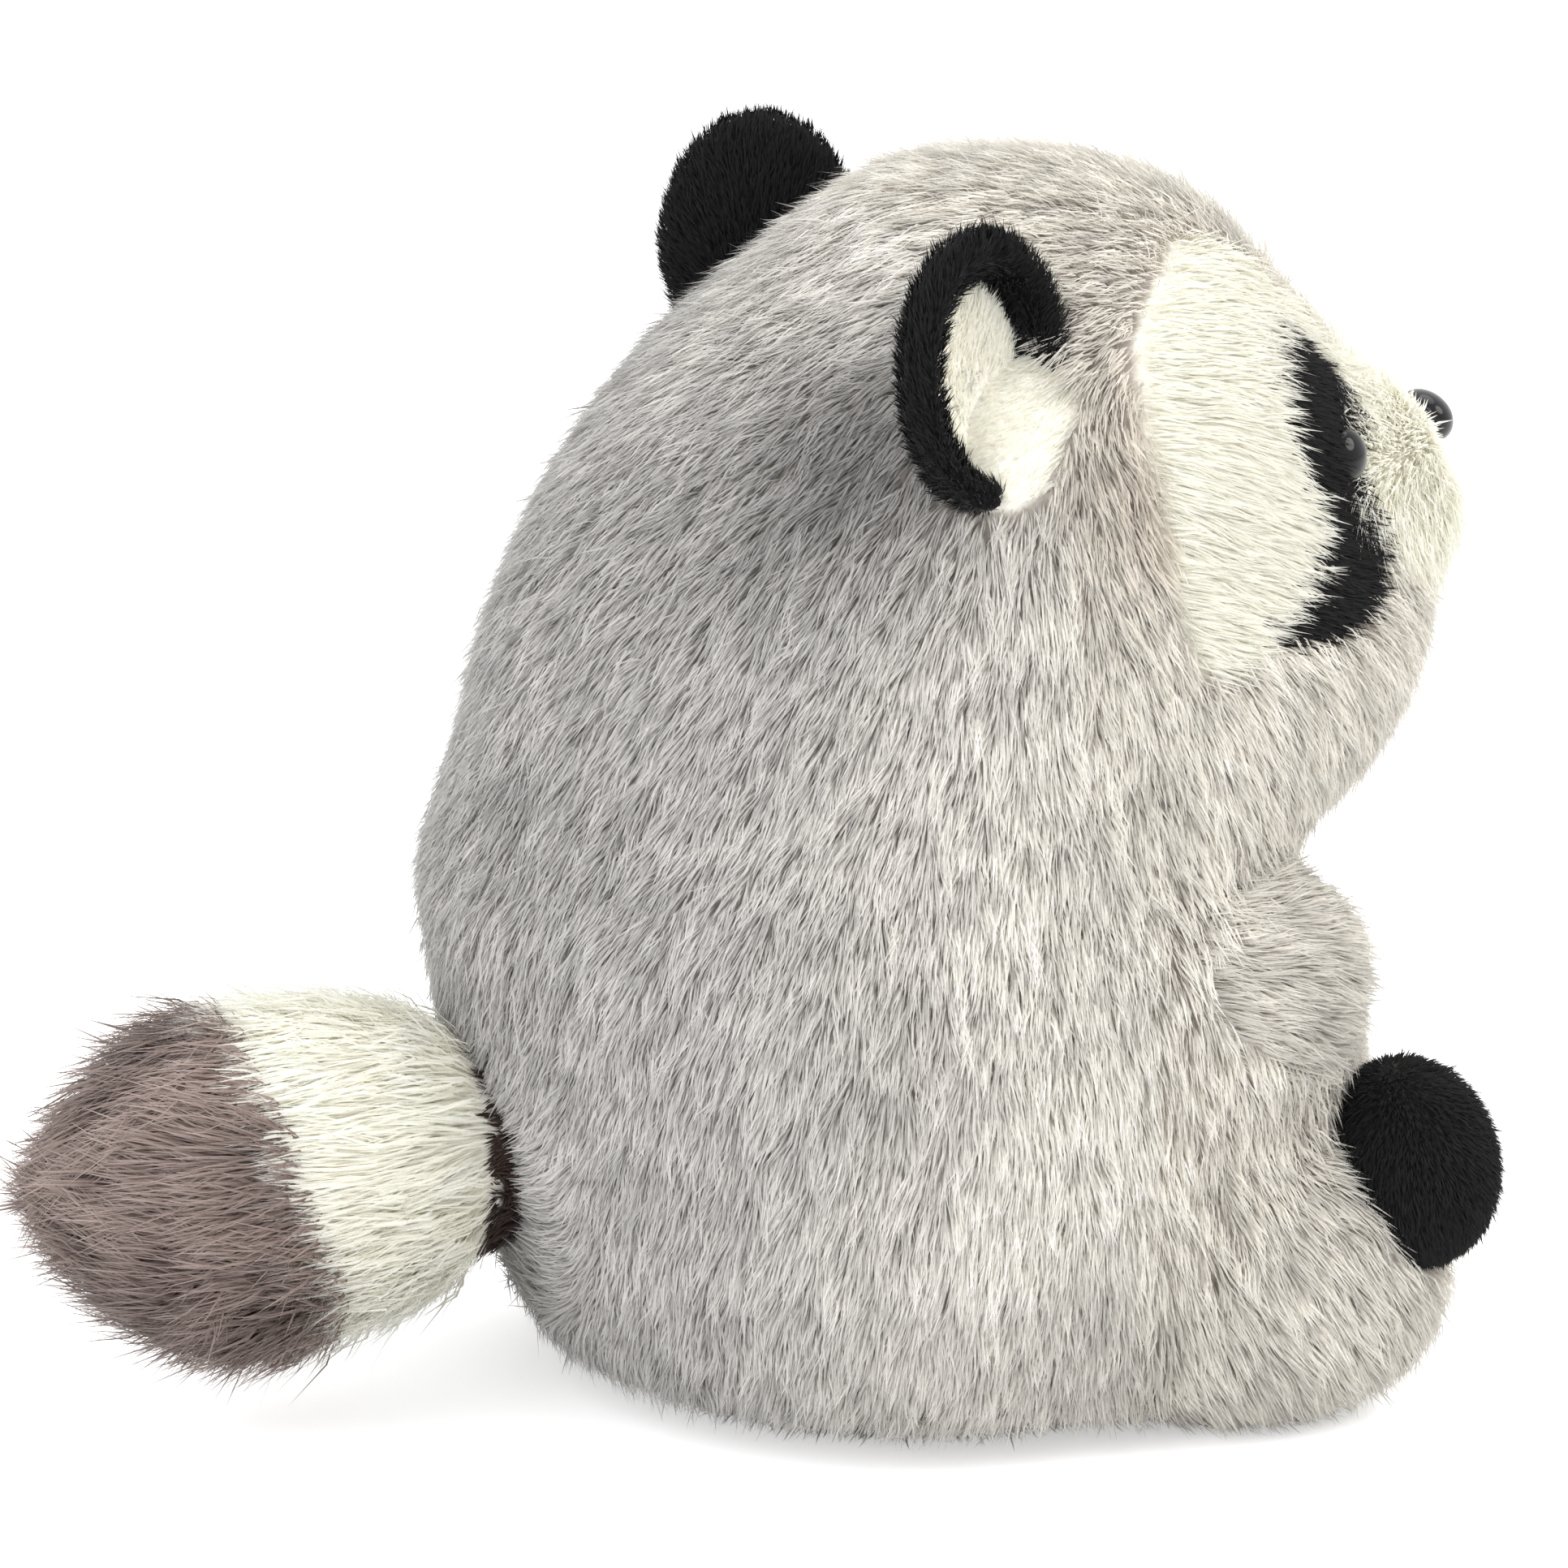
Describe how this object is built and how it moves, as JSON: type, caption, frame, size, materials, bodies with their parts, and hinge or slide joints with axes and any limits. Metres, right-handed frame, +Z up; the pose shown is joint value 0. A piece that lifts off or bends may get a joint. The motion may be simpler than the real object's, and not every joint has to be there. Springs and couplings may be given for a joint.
{
  "type": "plush raccoon",
  "caption": "Seated plush raccoon with a rounded grey body, white and black face patches, cupped ears, stub limbs and a thick ringed tail.",
  "frame": {"origin": "centre of the flat base that the toy sits on, on the ground plane below the middle of the body", "axes": "+Z up through the crown; the face looks along -Y and the tail points along +Y; +X is the toy's own left side"},
  "size_m": [0.176, 0.2851, 0.2355],
  "materials": {
    "grey_pile": "soft medium pile, light grey with darker tips",
    "white_pile": "soft medium pile, creamy white",
    "black_pile": "short dense pile, black",
    "taupe_pile": "long shaggy pile, taupe brown",
    "brown_pile": "long pile, dark brown",
    "filling": "loose polyester fibre, white, not seen",
    "eye_plastic": "polished, nearly black",
    "nose_plastic": "polished black",
    "washer_plastic": "moulded off-white, not seen"
  },
  "bodies": {
    "root": {"arm_filling_left": "filling", "arm_filling_right": "filling", "arm_left": "grey_pile", "arm_right": "grey_pile", "back_panel_left": "grey_pile", "back_panel_right": "grey_pile", "base_panel": "grey_pile", "belly_panel": "grey_pile", "body_filling": "filling", "cheek_patch_left": "white_pile", "cheek_patch_right": "white_pile", "ear_inner_left": "white_pile", "ear_inner_right": "white_pile", "ear_outer_left": "black_pile", "ear_outer_right": "black_pile", "eye_left": "eye_plastic", "eye_right": "eye_plastic", "eye_washer_left": "washer_plastic", "eye_washer_right": "washer_plastic", "face_side_left": "grey_pile", "face_side_right": "grey_pile", "foot_left": "black_pile", "foot_right": "black_pile", "forehead_strip": "grey_pile", "leg_filling_left": "filling", "leg_filling_right": "filling", "leg_left": "grey_pile", "leg_right": "grey_pile", "mask_left": "black_pile", "mask_right": "black_pile", "muzzle_panel": "white_pile", "nose": "nose_plastic", "nose_washer": "washer_plastic", "tail_filling": "filling", "tail_root_band": "brown_pile", "tail_tip_band": "taupe_pile", "tail_white_band": "white_pile"}
  },
  "joints": []
}
